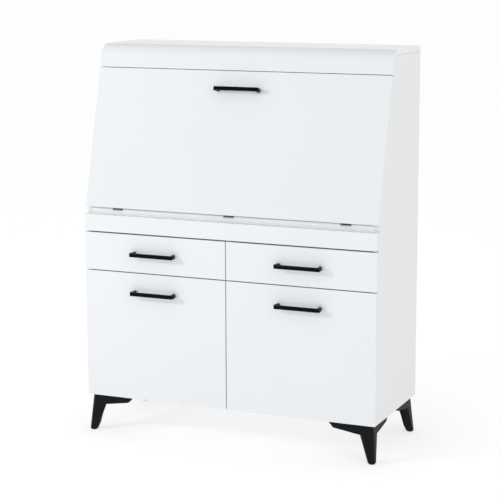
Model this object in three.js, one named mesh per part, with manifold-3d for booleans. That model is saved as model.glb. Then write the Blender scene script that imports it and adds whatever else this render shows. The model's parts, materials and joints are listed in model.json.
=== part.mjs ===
// Secretary desk: a white cabinet on four black corner feet, with two doors, two drawers, a fixed
// apron and a slanted fall flap that drops level with the worktop behind it.
// Lengths are millimetres. +Z is up, the front faces -Y, and the origin lies on the floor under the
// middle of the desk's box. Left is -X.

import * as THREE from 'three';
import { mergeVertices } from 'three/addons/utils/BufferGeometryUtils.js';
import Module from 'manifold-3d';

const wasm = await Module();
wasm.setup();

// Overall size
const WIDTH = 920;
const HEIGHT = 1165;
const DEPTH = 372; // from the face of the doors to the back
const HANDLE_REACH = 28; // how far the handles stand out from the face they are on
const FOOT_HEIGHT = 113;

// Boards and the gaps round them
const BOARD = 16;
const WORKTOP_THICKNESS = 18;
const HARDBOARD = 4;
const FIT = 0.2; // between two pieces that are fastened to each other
const TURNED_FIT = 0.3; // the same inside a turned group
const FRONT_SEAT = 1; // air between the back of a front and the carcass
const FLAP_SEAT = 0.5; // the same behind the flap and the curved top
const FRONT_GAP = 3; // between two neighbouring fronts
const APRON_GAP = 4; // between the apron and the drawer fronts

// Heights of the fronts
const DOOR_TOP = 500;
const APRON_BOTTOM = 616;
const APRON_TOP = 668;
const WORKTOP_TOP = 685;
const WORKTOP_BOTTOM = WORKTOP_TOP - WORKTOP_THICKNESS;

// Flap and curved top
const TILT = THREE.MathUtils.degToRad(14.9); // the closed flap leans back this far
const HINGE_BEHIND = 23; // the flap's axis behind the face of the doors
const FLAP_EDGE = 1; // from the axis to the flap's bottom edge and to the worktop's front edge
const FLAP_LENGTH = 420;
const FLAP_TOP_GAP = 2; // between the flap and the curved top
const TOP_RADIUS = 40;
const FLAP_HINGE_SPACING = 360;

// Inside
const RABBET_WIDTH = 8;
const RABBET_DEPTH = 5;
const RAIL_HEIGHT = 47;
const INNER_SHELF_Z = 930;
const INNER_SHELF_BEHIND = 102;
const CUPBOARD_SHELF_Z = 300;
const CUPBOARD_SHELF_BEHIND = 45;
const LOOSE_SHELF_FIT = 1; // at each end of a shelf that lifts out
const LOOSE_SHELF_SHORT = 5; // off the board's back edge

// Drawers
const DRAWER_SIDE = 12;
const RUNNER_SPACE = 12.5; // on each side of a drawer box
const DRAWER_LENGTH = 320;
const DRAWER_BOX_BOTTOM = 514;
const DRAWER_BOX_HEIGHT = 84;
const DRAWER_FLOOR_ABOVE = 6; // the hardboard above the lower edge of the drawer sides
const DRAWER_GROOVE = 5; // depth of the groove that holds the drawer's floor
const RUNNER_LENGTH = 300;
const SHEET = 1.2; // steel sheet of runners and hinges

// Handles
const HANDLE_LENGTH = 140;
const HANDLE_HEIGHT = 11;
const HANDLE_X = 230;
const HANDLE_BELOW_DOOR_TOP = 59;
const HANDLE_BELOW_FLAP_TOP = 56;

// Flap stays
const STAY_ARM = 150; // from the flap's axis to the pivot on the flap and to the swivel on the side
const STAY_PIVOT_IN = 12; // the pivot stands in from the flap's inner face
const STAY_SWIVEL_ANGLE = THREE.MathUtils.degToRad(125); // of the swivel, up from the -Y direction
const STAY_X = 433;
const STAY_ROD_LENGTH = 278;

const OVERCUT = 1; // how far a cutting shape runs past the face that it opens

// Carcass planes worked out from the sizes above
const BACK = (DEPTH + HANDLE_REACH) / 2;
const FRONT = BACK - DEPTH;
const HALF = WIDTH / 2;
const INNER = HALF - BOARD; // inner face of a side panel
const FACE_Z = (APRON_BOTTOM + DOOR_TOP) / 2; // middle of the drawer fronts
const BOARD_BACK = BACK - RABBET_DEPTH - FIT;
const CARCASS_FRONT = FRONT + BOARD + FRONT_SEAT;
const HINGE_Y = FRONT + HINGE_BEHIND;
const HINGE_Z = WORKTOP_TOP;

const gloss = { color: 0xf3f5f8, roughness: 0.18, metalness: 0 };
const melamine = { color: 0xeaebec, roughness: 0.4, metalness: 0 };
const hardboard = { color: 0xe4e4e2, roughness: 0.6, metalness: 0 };
const blackMetal = { color: 0x17171a, roughness: 0.38, metalness: 0.6 };
const blackPlastic = { color: 0x2b2a2d, roughness: 0.5, metalness: 0 };
const steel = { color: 0xb5b8bc, roughness: 0.32, metalness: 1 };
const darkSteel = { color: 0x3c3d40, roughness: 0.4, metalness: 1 };
const SIDES = [['left', -1], ['right', 1]];

const desk = new THREE.Group();

function addMesh(parent, name, geometry, finish, position = [0, 0, 0]) {
  const mesh = new THREE.Mesh(geometry, new THREE.MeshStandardMaterial(finish));
  mesh.name = name;
  mesh.position.set(...position);
  parent.add(mesh);
  return mesh;
}

// A box between two planes on each axis.
function block(xs, ys, zs) {
  const geometry = new THREE.BoxGeometry(xs[1] - xs[0], ys[1] - ys[0], zs[1] - zs[0]);
  geometry.translate((xs[0] + xs[1]) / 2, (ys[0] + ys[1]) / 2, (zs[0] + zs[1]) / 2);
  return geometry;
}

function addBoard(parent, name, xs, ys, zs, finish) {
  const middle = [xs, ys, zs].map(([low, high]) => (low + high) / 2);
  const geometry = new THREE.BoxGeometry(xs[1] - xs[0], ys[1] - ys[0], zs[1] - zs[0]);
  return addMesh(parent, name, geometry, finish, middle);
}

// The stretch from a to b, measured outwards from the middle, on the left (-1) or right (1) side.
function span(side, a, b) {
  return side > 0 ? [a, b] : [-b, -a];
}

function extrude(shape, depth, segments = 20) {
  return new THREE.ExtrudeGeometry(shape, { depth, bevelEnabled: false, curveSegments: segments });
}

// A shape drawn in (y, z), run along X from x0 to x1.
function alongX(shape, x0, x1) {
  const turn = new THREE.Matrix4().makeBasis(
    new THREE.Vector3(0, 1, 0), new THREE.Vector3(0, 0, 1), new THREE.Vector3(1, 0, 0));
  return extrude(shape, x1 - x0).applyMatrix4(turn).translate(x0, 0, 0);
}

// A shape drawn in (x, z), run along Y from y0 to y1.
function alongY(shape, y0, y1) {
  const turn = new THREE.Matrix4().makeBasis(
    new THREE.Vector3(1, 0, 0), new THREE.Vector3(0, 0, 1), new THREE.Vector3(0, -1, 0));
  return extrude(shape, y1 - y0).applyMatrix4(turn).translate(0, y1, 0);
}

function polygon(points) {
  return new THREE.Shape(points.map(([x, y]) => new THREE.Vector2(x, y)));
}

// A round bar along X, centred on the origin.
function barX(radius, length, sides = 20) {
  return new THREE.CylinderGeometry(radius, radius, length, sides).rotateZ(Math.PI / 2);
}

// A round bar along Y from y0 to y1.
function barY(radius, y0, y1, sides = 16) {
  return new THREE.CylinderGeometry(radius, radius, y1 - y0, sides).translate(0, (y0 + y1) / 2, 0);
}

function toSolid(geometry) {
  const bare = geometry.clone();
  bare.deleteAttribute('normal');
  bare.deleteAttribute('uv');
  const merged = mergeVertices(bare, 1e-4);
  const vertProperties = new Float32Array(merged.attributes.position.array);
  const triVerts = new Uint32Array(merged.index.array);
  return new wasm.Manifold(new wasm.Mesh({ numProp: 3, vertProperties, triVerts }));
}

function toGeometry(solid) {
  const mesh = solid.getMesh();
  const geometry = new THREE.BufferGeometry();
  geometry.setAttribute('position', new THREE.BufferAttribute(new Float32Array(mesh.vertProperties), 3));
  geometry.setIndex(new THREE.BufferAttribute(new Uint32Array(mesh.triVerts), 1));
  return geometry;
}

// One solid made of the pieces in `joined`, less the pieces in `cut`.
function combine(joined, cut = []) {
  const whole = joined.map(toSolid).reduce((sum, piece) => sum.add(piece));
  return toGeometry(cut.map(toSolid).reduce((rest, piece) => rest.subtract(piece), whole));
}

// ---- Flap slope and curved top ----

// The point `out` outwards from the closed flap's inner face and `along` it from the hinge axis.
function onSlope(out, along) {
  const y = HINGE_Y - out * Math.cos(TILT) + along * Math.sin(TILT);
  const z = HINGE_Z + out * Math.sin(TILT) + along * Math.cos(TILT);
  return [y, z];
}

// Distance along the slope at which the flap's outer plane would meet the height of the top.
const CORNER_ALONG = (HEIGHT - HINGE_Z - BOARD * Math.sin(TILT)) / Math.cos(TILT);
const ROUND_LENGTH = TOP_RADIUS * Math.tan((Math.PI / 2 - TILT) / 2);
const ROUND_Y = onSlope(BOARD, CORNER_ALONG)[0] + ROUND_LENGTH;
const ROUND_Z = HEIGHT - TOP_RADIUS;
const CURVED_TOP_START = FLAP_EDGE + FLAP_LENGTH + FLAP_TOP_GAP;

function topPanelShape() {
  const shape = new THREE.Shape();
  shape.moveTo(BACK, HEIGHT);
  shape.lineTo(BACK, HEIGHT - BOARD);
  shape.absarc(ROUND_Y, ROUND_Z, TOP_RADIUS - BOARD, Math.PI / 2, Math.PI - TILT, false);
  shape.lineTo(...onSlope(0, CURVED_TOP_START));
  shape.lineTo(...onSlope(BOARD, CURVED_TOP_START));
  shape.absarc(ROUND_Y, ROUND_Z, TOP_RADIUS, Math.PI - TILT, Math.PI / 2, true);
  return shape;
}

// The side's front edge steps back beside the worktop, which leaves room for the dropped flap.
function sidePanelShape() {
  const inset = BOARD + FLAP_SEAT;
  const stepY = HINGE_Y + FLAP_EDGE;
  const stepAlong = (stepY - onSlope(-FLAP_SEAT, 0)[0]) / Math.sin(TILT);
  const shape = new THREE.Shape();
  shape.moveTo(CARCASS_FRONT, FOOT_HEIGHT);
  shape.lineTo(CARCASS_FRONT, WORKTOP_BOTTOM);
  shape.lineTo(stepY, WORKTOP_BOTTOM);
  shape.lineTo(...onSlope(-FLAP_SEAT, stepAlong));
  shape.absarc(ROUND_Y, ROUND_Z, TOP_RADIUS - inset, Math.PI - TILT, Math.PI / 2, true);
  shape.lineTo(BACK, HEIGHT - inset);
  shape.lineTo(BACK, FOOT_HEIGHT);
  return shape;
}

// ---- Carcass ----

function addCarcass() {
  for (const [label, side] of SIDES) {
    const panel = alongX(sidePanelShape(), ...span(side, INNER, HALF));
    const rabbet = block(
      span(side, INNER - OVERCUT, INNER + RABBET_WIDTH), [BACK - RABBET_DEPTH, BACK + OVERCUT], [0, HEIGHT]);
    addMesh(desk, `side_panel_${label}`, combine([panel], [rabbet]), melamine);
  }
  addMesh(desk, 'top_panel', alongX(topPanelShape(), -HALF, HALF), gloss);

  const across = [-INNER + FIT, INNER - FIT];
  const worktop = block(across, [HINGE_Y + FLAP_EDGE, BOARD_BACK], [WORKTOP_BOTTOM, WORKTOP_TOP]);
  addMesh(desk, 'worktop', combine([worktop], hingeCuts(worktopCuts)), melamine);

  const floor = [FOOT_HEIGHT, FOOT_HEIGHT + BOARD];
  addBoard(desk, 'bottom_panel', across, [CARCASS_FRONT, BOARD_BACK], floor, melamine);

  const railBack = CARCASS_FRONT + FIT + BOARD;
  const railBottom = WORKTOP_BOTTOM - FIT - RAIL_HEIGHT;
  addBoard(desk, 'front_rail', across, [CARCASS_FRONT + FIT, railBack],
    [railBottom, WORKTOP_BOTTOM - FIT], melamine);

  const partition = polygon([
    [CARCASS_FRONT, floor[1] + FIT],
    [BOARD_BACK, floor[1] + FIT],
    [BOARD_BACK, WORKTOP_BOTTOM - FIT],
    [railBack + FIT, WORKTOP_BOTTOM - FIT],
    [railBack + FIT, railBottom - FIT],
    [CARCASS_FRONT, railBottom - FIT],
  ]);
  addMesh(desk, 'centre_partition', alongX(partition, -BOARD / 2, BOARD / 2), melamine);

  const backHalf = INNER + RABBET_WIDTH - FIT;
  addBoard(desk, 'back_panel', [-backHalf, backHalf],
    [BACK - RABBET_DEPTH + FIT, BACK - RABBET_DEPTH + FIT + HARDBOARD],
    [FOOT_HEIGHT + FIT, HEIGHT - BOARD - FIT], hardboard);

  addBoard(desk, 'apron', [-HALF, HALF], [FRONT, FRONT + BOARD],
    [APRON_BOTTOM + APRON_GAP / 2, APRON_TOP], gloss);

  addBoard(desk, 'inner_shelf', across, [FRONT + INNER_SHELF_BEHIND, BOARD_BACK],
    [INNER_SHELF_Z, INNER_SHELF_Z + BOARD], melamine);

  for (const [label, side] of SIDES) {
    addBoard(desk, `cupboard_shelf_${label}`,
      span(side, BOARD / 2 + LOOSE_SHELF_FIT, INNER - LOOSE_SHELF_FIT),
      [FRONT + CUPBOARD_SHELF_BEHIND, BOARD_BACK - LOOSE_SHELF_SHORT],
      [CUPBOARD_SHELF_Z, CUPBOARD_SHELF_Z + BOARD], melamine);
  }
}

// ---- Feet ----

const FOOT_ARM = 136; // along each edge of the cabinet, from the foot's outer faces
const FOOT_ARM_WIDTH = 14;
const FOOT_ARM_HEIGHT = 30; // beside the leg
const FOOT_ARM_END = 18; // at the far end
const FOOT_ARM_SLANT = 15; // the end face leans back this far
const FOOT_PLATE = 4; // thickness of the plate over the hollow side of the leg
const FOOT_TOP_INSET = 10; // outer faces of the foot in from the cabinet's edge, at the top
const FOOT_TIP_INSET = 0.5; // and at the floor
const LEG_ROOT = 43; // width of the leg where it leaves the arms
const LEG_TIP = 21.5;
const LEG_CORNER = 7.5; // flat along each corner of the leg, measured along the faces
const LEG_TIP_CORNER = 5.5;
const LEG_HOLLOW = { width: 45, corner: 3, start: 14, full: 50 }; // from where to where it deepens
const TIP_ROUNDING = 3; // the sole is this much smaller all round

// A square with its corners cut off, as a ring of points at height z.
function cutSquare(low, width, corner, z) {
  const high = low + width;
  return [
    [high, high - corner, z], [high - corner, high, z],
    [low + corner, high, z], [low, high - corner, z],
    [low, low + corner, z], [low + corner, low, z],
    [high - corner, low, z], [high, low + corner, z],
  ];
}

// A closed skin over rings with the same number of points, listed from the bottom up.
function loft(rings) {
  const count = rings[0].length;
  const points = rings.flat();
  const faces = [];
  for (let level = 0; level + 1 < rings.length; level += 1) {
    for (let i = 0; i < count; i += 1) {
      const a = level * count + i;
      const b = level * count + (i + 1) % count;
      faces.push(a, b, b + count, a, b + count, a + count);
    }
  }
  const top = (rings.length - 1) * count;
  for (let i = 1; i + 1 < count; i += 1) {
    faces.push(0, i + 1, i);
    faces.push(top, top + i, top + i + 1);
  }
  const geometry = new THREE.BufferGeometry();
  geometry.setAttribute('position', new THREE.Float32BufferAttribute(points.flat(), 3));
  geometry.setIndex(faces);
  return geometry;
}

// A foot with its arms along +X and +Y from the cabinet corner at the local origin. It is drawn with
// upright outer faces and then sheared, so that those faces lean outwards down to the floor.
function footGeometry() {
  const top = FOOT_HEIGHT - FIT;
  const start = FOOT_TOP_INSET;
  const armBottom = top - FOOT_ARM_HEIGHT;
  const taper = (LEG_ROOT - LEG_TIP) / (armBottom - TIP_ROUNDING);
  const solidLeg = loft([
    cutSquare(start + TIP_ROUNDING, LEG_TIP - 2 * TIP_ROUNDING, LEG_TIP_CORNER - TIP_ROUNDING / 2, 0),
    cutSquare(start, LEG_TIP, LEG_TIP_CORNER, TIP_ROUNDING),
    cutSquare(start, LEG_ROOT, LEG_CORNER, armBottom),
    cutSquare(start, LEG_ROOT + taper * FOOT_ARM_HEIGHT / 2, LEG_CORNER, top),
  ]);
  const { width, corner } = LEG_HOLLOW;
  const hollow = loft([
    cutSquare(start + LEG_TIP, width, corner, LEG_HOLLOW.start),
    cutSquare(start + FOOT_ARM_WIDTH, width, corner, LEG_HOLLOW.full),
    cutSquare(start + FOOT_ARM_WIDTH, width, corner, top - FOOT_PLATE),
  ]);
  const leg = combine([solidLeg], [hollow]);
  const armStart = start + LEG_CORNER;
  const profile = polygon([
    [armStart, armBottom],
    [start + LEG_ROOT, armBottom],
    [start + FOOT_ARM - FOOT_ARM_SLANT, top - FOOT_ARM_END],
    [start + FOOT_ARM, top],
    [armStart, top],
  ]);
  const armX = alongY(profile, start, start + FOOT_ARM_WIDTH);
  const armY = alongX(profile, start, start + FOOT_ARM_WIDTH);
  const lean = (FOOT_TOP_INSET - FOOT_TIP_INSET) / top;
  const shear = new THREE.Matrix4().makeShear(0, 0, 0, 0, lean, lean);
  shear.setPosition(-lean * top, -lean * top, 0);
  return combine([leg, armX, armY]).applyMatrix4(shear);
}

function addFeet() {
  const corners = [
    ['foot_front_left', -HALF, FRONT],
    ['foot_front_right', HALF, FRONT],
    ['foot_back_right', HALF, BACK],
    ['foot_back_left', -HALF, BACK],
  ];
  corners.forEach(([name, x, y], quarter) => {
    const foot = addMesh(desk, name, footGeometry(), blackPlastic, [x, y, 0]);
    foot.rotation.z = quarter * Math.PI / 2;
  });
}

// ---- Handles ----

// A flat bow: a straight bar whose two ends turn back to the face at y = 0.
function handleGeometry() {
  const half = HANDLE_LENGTH / 2;
  const thickness = 7;
  const leg = 8;
  const lean = 2;
  const outerRound = 5;
  const innerRound = 2.5;
  const reach = -HANDLE_REACH;
  const under = reach + thickness;
  const inner = half - leg;
  const shape = new THREE.Shape();
  shape.moveTo(-half + lean, -FIT);
  shape.lineTo(-half, reach + outerRound);
  shape.quadraticCurveTo(-half, reach, -half + outerRound, reach);
  shape.lineTo(half - outerRound, reach);
  shape.quadraticCurveTo(half, reach, half, reach + outerRound);
  shape.lineTo(half - lean, -FIT);
  shape.lineTo(inner - lean, -FIT);
  shape.lineTo(inner, under + innerRound);
  shape.quadraticCurveTo(inner, under, inner - innerRound, under);
  shape.lineTo(-inner + innerRound, under);
  shape.quadraticCurveTo(-inner, under, -inner, under + innerRound);
  shape.lineTo(-inner + lean, -FIT);
  return extrude(shape, HANDLE_HEIGHT, 5).translate(0, 0, -HANDLE_HEIGHT / 2);
}

// ---- Flap and its hinges ----

const FLAP_HINGE_WIDTH = 30;
const KNUCKLE_WIDTH = 10; // of the middle knuckle, which belongs to the flap
const KNUCKLE_RADIUS = 3.2;
const KNUCKLE_CLEARANCE = 0.5;
const PIN_RADIUS = 1.2;
const PIN_CLEARANCE = 0.3;
const LEAF = 1.4;
const LEAF_LENGTH = 16;
const LEAF_ROOM = 1; // air round a leaf in its recess
const KNUCKLE_ROOM = KNUCKLE_RADIUS + KNUCKLE_CLEARANCE;
const MORTISE_DEPTH = 7; // of the pocket below the knuckles, in the worktop's edge
const FLAP_HINGES = [
  ['left', -FLAP_HINGE_SPACING],
  ['centre', 0],
  ['right', FLAP_HINGE_SPACING],
];

// The cuts for all three hinges, out of a function that gives those for one.
function hingeCuts(cutsAt) {
  const half = FLAP_HINGE_WIDTH / 2 + LEAF_ROOM;
  return FLAP_HINGES.flatMap(([, x]) => cutsAt([x - half, x + half]));
}

// In the worktop: a pocket for the knuckles and a shallow recess that lets the leaf in flush.
function worktopCuts(xs) {
  return [
    block(xs, [HINGE_Y, HINGE_Y + KNUCKLE_ROOM], [WORKTOP_TOP - MORTISE_DEPTH, WORKTOP_TOP + OVERCUT]),
    block(xs, [HINGE_Y, HINGE_Y + LEAF_LENGTH + LEAF_ROOM],
      [WORKTOP_TOP - LEAF - FIT, WORKTOP_TOP + OVERCUT]),
  ];
}

// The same in the flap's inner face and bottom edge, in the flap's own frame.
function flapCuts(xs) {
  return [
    block(xs, [-KNUCKLE_ROOM, OVERCUT], [0, KNUCKLE_ROOM]),
    block(xs, [-LEAF - TURNED_FIT, OVERCUT], [0, LEAF_LENGTH + LEAF_ROOM]),
  ];
}

// Leaf let into the worktop, with its axis on the local origin and two end knuckles.
function fixedLeafGeometry() {
  const half = FLAP_HINGE_WIDTH / 2;
  const plate = block([-half, half], [0, LEAF_LENGTH], [-LEAF, 0]);
  const barrel = barX(KNUCKLE_RADIUS, FLAP_HINGE_WIDTH);
  const gap = barX(KNUCKLE_ROOM, KNUCKLE_WIDTH + 2 * KNUCKLE_CLEARANCE);
  const bore = barX(PIN_RADIUS + PIN_CLEARANCE, FLAP_HINGE_WIDTH + 2 * OVERCUT);
  return combine([plate, barrel], [gap, bore]);
}

// Leaf let into the flap, in the flap's frame, with the middle knuckle and the pin.
function flapLeafGeometry() {
  const half = FLAP_HINGE_WIDTH / 2;
  const plate = block([-half, half], [-LEAF, 0], [0, LEAF_LENGTH]);
  const knuckle = barX(KNUCKLE_RADIUS, KNUCKLE_WIDTH);
  const pin = barX(PIN_RADIUS, FLAP_HINGE_WIDTH);
  const endLength = (FLAP_HINGE_WIDTH - KNUCKLE_WIDTH) / 2 + OVERCUT;
  const ends = [-1, 1].map((side) => barX(KNUCKLE_ROOM, endLength)
    .translate(side * (KNUCKLE_WIDTH + endLength) / 2, 0, 0));
  return combine([combine([plate, knuckle], ends), pin]);
}

function addFlap() {
  const flap = new THREE.Group();
  flap.position.set(0, HINGE_Y, HINGE_Z);
  flap.rotation.x = -TILT;
  desk.add(flap);

  const top = FLAP_EDGE + FLAP_LENGTH;
  const panel = block([-HALF, HALF], [-BOARD, 0], [FLAP_EDGE, top]);
  addMesh(flap, 'flap', combine([panel], hingeCuts(flapCuts)), gloss);
  addMesh(flap, 'flap_handle', handleGeometry(), blackMetal,
    [0, -BOARD - TURNED_FIT + FIT, top - HANDLE_BELOW_FLAP_TOP]);
  for (const [label, x] of FLAP_HINGES) {
    addMesh(flap, `flap_hinge_${label}_moving_leaf`, flapLeafGeometry(), darkSteel, [x, 0, 0]);
    addMesh(desk, `flap_hinge_${label}_fixed_leaf`, fixedLeafGeometry(), darkSteel,
      [x, HINGE_Y, HINGE_Z]);
  }
}

// ---- Flap stays ----

const ROD_RADIUS = 3.5;
const ROD_EYE_RADIUS = 8;
const ROD_EYE_WIDTH = 9;
const ROD_STOP_RADIUS = 6;
const ROD_STOP_LENGTH = 5;
const ROD_EYE_BORE = 2.4; // radius
const HEAD_RADIUS = 11;
const HEAD_BORE = 4.3; // radius
const HEAD_ROOM_SIDE = 7.5; // how far the head reaches from the rod's axis into the compartment

// The pivot on the flap and the swivel on the side are as far from the hinge axis as each other, so
// the rod turns through half the angle of the flap.
function addStays() {
  const pivotAlong = Math.sqrt(STAY_ARM ** 2 - STAY_PIVOT_IN ** 2);
  const [pivotY, pivotZ] = onSlope(-STAY_PIVOT_IN, pivotAlong);
  const swivelY = HINGE_Y - STAY_ARM * Math.cos(STAY_SWIVEL_ANGLE);
  const swivelZ = HINGE_Z + STAY_ARM * Math.sin(STAY_SWIVEL_ANGLE);
  const slope = Math.atan2(swivelZ - pivotZ, swivelY - pivotY);
  const rod = combine([
    barY(ROD_RADIUS, 0, STAY_ROD_LENGTH),
    barX(ROD_EYE_RADIUS, ROD_EYE_WIDTH),
    barY(ROD_STOP_RADIUS, STAY_ROD_LENGTH - ROD_STOP_LENGTH, STAY_ROD_LENGTH),
  ], [barX(ROD_EYE_BORE, ROD_EYE_WIDTH + 2 * OVERCUT)]);
  const wallSide = INNER - FIT - STAY_X;

  for (const [label, side] of SIDES) {
    const rodMesh = addMesh(desk, `flap_stay_${label}_rod`, rod, steel, [side * STAY_X, pivotY, pivotZ]);
    rodMesh.rotation.x = slope;
    const shift = side * (wallSide - HEAD_ROOM_SIDE) / 2;
    const head = combine(
      [barX(HEAD_RADIUS, wallSide + HEAD_ROOM_SIDE).translate(shift, 0, 0)],
      [barY(HEAD_BORE, -HEAD_RADIUS - OVERCUT, HEAD_RADIUS + OVERCUT)]);
    const headMesh = addMesh(desk, `flap_stay_${label}_head`, head, steel,
      [side * STAY_X, swivelY, swivelZ]);
    headMesh.rotation.x = slope;
  }
}

// ---- Drawers ----

const CABINET_RUNNER_LOW = 2; // above the lower edge of the drawer side
const CABINET_RUNNER_HIGH = 32;
const CABINET_RUNNER_LIP = 9; // how far its lips stand in from the wall
const CABINET_RUNNER_SETBACK = 3; // behind the carcass's front edge
const DRAWER_RUNNER_HIGH = 22;
const DRAWER_RUNNER_LIP = 8.5; // how far its lip stands out from the drawer side
const DRAWER_RUNNER_SETBACK = 1; // behind the front end of the drawer side

// Cross sections of a runner pair, as distances out from the drawer side's outer face and up from
// the lower edge of the drawer side. The runner on the wall is a channel.
const wallFace = RUNNER_SPACE - FIT;
const wallLip = RUNNER_SPACE - CABINET_RUNNER_LIP;
const CABINET_RUNNER = [
  [wallFace, CABINET_RUNNER_LOW],
  [wallFace, CABINET_RUNNER_HIGH],
  [wallLip, CABINET_RUNNER_HIGH],
  [wallLip, CABINET_RUNNER_HIGH - SHEET],
  [wallFace - SHEET, CABINET_RUNNER_HIGH - SHEET],
  [wallFace - SHEET, CABINET_RUNNER_LOW + SHEET],
  [wallLip, CABINET_RUNNER_LOW + SHEET],
  [wallLip, CABINET_RUNNER_LOW],
];

// The runner on the drawer wraps under the drawer side and turns out at the top.
const DRAWER_RUNNER = [
  [-DRAWER_SIDE, -FIT],
  [-DRAWER_SIDE, -FIT - SHEET],
  [FIT + SHEET, -FIT - SHEET],
  [FIT + SHEET, DRAWER_RUNNER_HIGH],
  [DRAWER_RUNNER_LIP, DRAWER_RUNNER_HIGH],
  [DRAWER_RUNNER_LIP, DRAWER_RUNNER_HIGH + SHEET],
  [FIT, DRAWER_RUNNER_HIGH + SHEET],
  [FIT, -FIT],
];

function addDrawer(label, side) {
  const frontBack = FRONT + BOARD;
  const nearCentre = BOARD / 2 + RUNNER_SPACE;
  const nearWall = INNER - RUNNER_SPACE;
  const boxStart = frontBack + FIT;
  const boxEnd = boxStart + DRAWER_LENGTH;
  const low = DRAWER_BOX_BOTTOM;
  const high = low + DRAWER_BOX_HEIGHT;
  const floorLow = low + DRAWER_FLOOR_ABOVE;
  const cabinetRunnerStart = CARCASS_FRONT + CABINET_RUNNER_SETBACK;
  const drawerRunnerStart = boxStart + DRAWER_RUNNER_SETBACK;

  addBoard(desk, `drawer_${label}_front`, span(side, FRONT_GAP / 2, HALF), [FRONT, frontBack],
    [DOOR_TOP + FRONT_GAP / 2, APRON_BOTTOM - APRON_GAP / 2], gloss);

  // `face` is the outer face of a drawer side and `out` the direction it looks, away from the box.
  const walls = [['inner', nearCentre, -1], ['outer', nearWall, 1]];
  for (const [place, face, out] of walls) {
    const grooveLow = floorLow - FIT;
    const grooveHigh = floorLow + HARDBOARD + FIT;
    const wall = [
      [0, low], [0, high], [-DRAWER_SIDE, high], [-DRAWER_SIDE, grooveHigh],
      [-DRAWER_SIDE + DRAWER_GROOVE, grooveHigh], [-DRAWER_SIDE + DRAWER_GROOVE, grooveLow],
      [-DRAWER_SIDE, grooveLow], [-DRAWER_SIDE, low],
    ];
    const place2d = ([across, up]) => [side * (face + out * across), up];
    addMesh(desk, `drawer_${label}_side_${place}`,
      alongY(polygon(wall.map(place2d)), boxStart, boxEnd), melamine);

    const runner = (points) => polygon(points.map(([across, up]) => place2d([across, low + up])));
    addMesh(desk, `runner_${label}_${place}_cabinet`,
      alongY(runner(CABINET_RUNNER), cabinetRunnerStart, cabinetRunnerStart + RUNNER_LENGTH), steel);
    addMesh(desk, `runner_${label}_${place}_drawer`,
      alongY(runner(DRAWER_RUNNER), drawerRunnerStart, drawerRunnerStart + RUNNER_LENGTH), steel);
  }

  const between = span(side, nearCentre + DRAWER_SIDE + FIT, nearWall - DRAWER_SIDE - FIT);
  addBoard(desk, `drawer_${label}_back`, between, [boxEnd - DRAWER_SIDE, boxEnd],
    [floorLow + HARDBOARD + FIT, high], melamine);

  const reach = DRAWER_SIDE - DRAWER_GROOVE + FIT;
  addBoard(desk, `drawer_${label}_bottom`, span(side, nearCentre + reach, nearWall - reach),
    [boxStart, boxEnd], [floorLow, floorLow + HARDBOARD], hardboard);

  addMesh(desk, `drawer_${label}_handle`, handleGeometry(), blackMetal, [side * HANDLE_X, FRONT, FACE_Z]);
}

// ---- Doors ----

const CUP_FROM_EDGE = 22.5; // the cup's middle from the door's outer edge
const CUP_RADIUS = 17.4;
const CUP_DEPTH = 11.5;
const CUP_CLEARANCE = 0.5;
const HINGE_FROM_END = 60;
const CUP_SIDES = 32;

// Reaches of the hinge pieces: inwards and outwards across the door, half heights, and depths.
const CUP_FLANGE = { inwards: 13, outwards: 5, halfHeight: 31 };
const CUP_KNUCKLE = { inwards: 9, outwards: 3, halfHeight: 9, depth: 9 };
const ARM_PLATE = { depth: 2, start: 26, end: 66, halfHeight: 24 };
const ARM = { depth: 16, start: 10, end: 68, halfHeight: 8 };

// Cup with its flange and the knuckle that the arm's links reach, on the inner face of a door at
// y = 0, centred on the cup. The wall is on the +X side times `side`.
function hingeCupGeometry(side) {
  const upright = ({ halfHeight }) => [-halfHeight, halfHeight];
  const across = ({ inwards, outwards }) => span(side, -inwards, outwards);
  const cup = barY(CUP_RADIUS, -CUP_DEPTH, FRONT_SEAT / 2, CUP_SIDES);
  const flange = block(across(CUP_FLANGE), [FIT, FIT + SHEET], upright(CUP_FLANGE));
  const knuckle = block(across(CUP_KNUCKLE), [FIT, CUP_KNUCKLE.depth], upright(CUP_KNUCKLE));
  return combine([cup, flange, knuckle]);
}

// Arm on its mounting plate, on the inner face of a side panel at x = 0, with the same centre.
function hingeArmGeometry(side) {
  const onWall = ({ depth, start, end, halfHeight }) => block(
    span(side, -depth - FIT, -FIT), [start, end], [-halfHeight, halfHeight]);
  return combine([ARM_PLATE, ARM].map(onWall));
}

function addDoor(label, side) {
  const doorBack = FRONT + BOARD;
  const top = DOOR_TOP - FRONT_GAP / 2;
  const cupX = side * (HALF - CUP_FROM_EDGE);
  const heights = [['lower', FOOT_HEIGHT + HINGE_FROM_END], ['upper', DOOR_TOP - HINGE_FROM_END]];

  const panel = block(span(side, FRONT_GAP / 2, HALF), [FRONT, doorBack], [FOOT_HEIGHT, top]);
  const recess = () => barY(CUP_RADIUS + CUP_CLEARANCE, -CUP_DEPTH - CUP_CLEARANCE, OVERCUT, CUP_SIDES);
  const recesses = heights.map(([, z]) => recess().translate(cupX, doorBack, z));
  addMesh(desk, `door_${label}`, combine([panel], recesses), gloss);
  addMesh(desk, `door_${label}_handle`, handleGeometry(), blackMetal,
    [side * HANDLE_X, FRONT, DOOR_TOP - HANDLE_BELOW_DOOR_TOP]);

  for (const [place, z] of heights) {
    addMesh(desk, `door_${label}_hinge_${place}_cup`, hingeCupGeometry(side), steel,
      [cupX, doorBack, z]);
    addMesh(desk, `door_${label}_hinge_${place}_arm`, hingeArmGeometry(side), steel,
      [side * INNER, doorBack, z]);
  }
}

addCarcass();
addFeet();
addFlap();
addStays();
for (const [label, side] of SIDES) {
  addDrawer(label, side);
  addDoor(label, side);
}

export default desk;
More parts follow.
